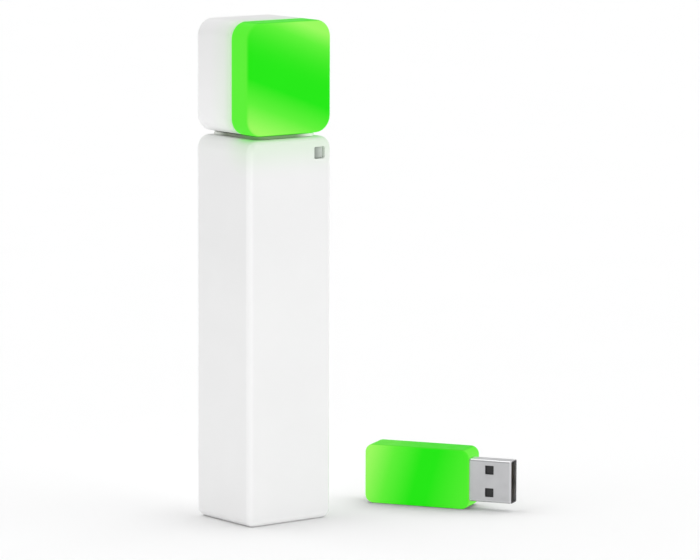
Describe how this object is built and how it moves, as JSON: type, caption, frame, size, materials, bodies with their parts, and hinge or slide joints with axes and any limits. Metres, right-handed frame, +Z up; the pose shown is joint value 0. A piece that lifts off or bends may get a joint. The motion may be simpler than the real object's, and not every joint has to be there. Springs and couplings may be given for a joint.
{
  "type": "desk status light",
  "caption": "Slim cordless desk light that shows whether its user is free, with a swivelling lamp head, a recessed button and a plug-in radio dongle.",
  "frame": {"origin": "on the desk, under the centre of the tower's foot", "axes": "+Z up along the tower, -Y out of the lit front face, +X to the front face's right when it is looked at from the front"},
  "size_m": [0.0762, 0.0496, 0.1383],
  "materials": {
    "white_shell": "satin",
    "white_tray": "matte",
    "green_lens": "satin",
    "button_grey": "satin",
    "frame_grey": "matte",
    "black_plastic": "satin",
    "dark_rubber": "matte",
    "circuit_board": "satin",
    "chip_black": "matte",
    "led_body": "gloss",
    "cell_sleeve": "satin",
    "lead_sheath": "matte",
    "plug_steel": "satin",
    "plated_steel": "satin",
    "contact_gold": "polished"
  },
  "bodies": {
    "tower": {"column_shell": "white_shell", "base_cap": "white_shell", "base_screw_1": "plated_steel", "base_screw_2": "plated_steel", "foot_pad": "dark_rubber", "inner_frame": "frame_grey", "battery_cell": "cell_sleeve", "battery_tab_top": "plated_steel", "battery_tab_bottom": "plated_steel", "battery_lead_top": "lead_sheath", "battery_lead_bottom": "lead_sheath", "main_board": "circuit_board", "board_screw_1": "plated_steel", "board_screw_2": "plated_steel", "radio_module": "plated_steel", "controller_chip": "chip_black", "converter_coil": "chip_black", "lead_socket": "white_tray", "column_lead": "lead_sheath", "switch_body": "black_plastic", "charge_board": "circuit_board", "charge_port_shell": "plated_steel", "charge_port_tongue": "black_plastic", "charger_chip": "chip_black", "charge_lead": "lead_sheath", "friction_pad": "dark_rubber"},
    "button": {"status_button": "button_grey", "switch_plunger": "black_plastic"},
    "head": {"wave_washer": "plated_steel", "swivel_hub": "frame_grey", "hub_screw_1": "plated_steel", "hub_screw_2": "plated_steel", "stop_ring": "frame_grey", "retaining_clip": "plated_steel", "head_rear_shell": "white_shell", "head_diffuser": "green_lens", "led_board": "white_tray", "led_1": "led_body", "led_2": "led_body", "led_3": "led_body", "led_4": "led_body", "led_screw_1": "plated_steel", "led_screw_2": "plated_steel", "reflector_tray": "white_tray", "led_socket": "white_tray", "head_lead": "lead_sheath"},
    "dongle": {"dongle_front_shell": "green_lens", "dongle_rear_shell": "green_lens", "dongle_board": "circuit_board", "dongle_radio_chip": "chip_black", "dongle_crystal": "plated_steel", "dongle_led_1": "led_body", "dongle_led_2": "led_body", "usb_plug_shell": "plug_steel", "usb_plug_tongue": "black_plastic", "usb_contact_1": "contact_gold", "usb_contact_2": "contact_gold", "usb_contact_3": "contact_gold", "usb_contact_4": "contact_gold"}
  },
  "joints": [
    {"name": "head_swivel", "type": "hinge", "parent": "tower", "child": "head", "pos_m": [0, 0, 0.1069], "axis": [0, 0, 1], "range_deg": [-170, 170]},
    {"name": "button_press", "type": "slide", "parent": "tower", "child": "button", "axis": [0, 1, 0], "range_m": [0, 0.0004], "stiffness_N_per_m": 300},
    {"name": "dongle_lift", "type": "slide", "parent": "tower", "child": "dongle", "axis": [0, 0, 1], "range_m": [0, 0.05]}
  ]
}
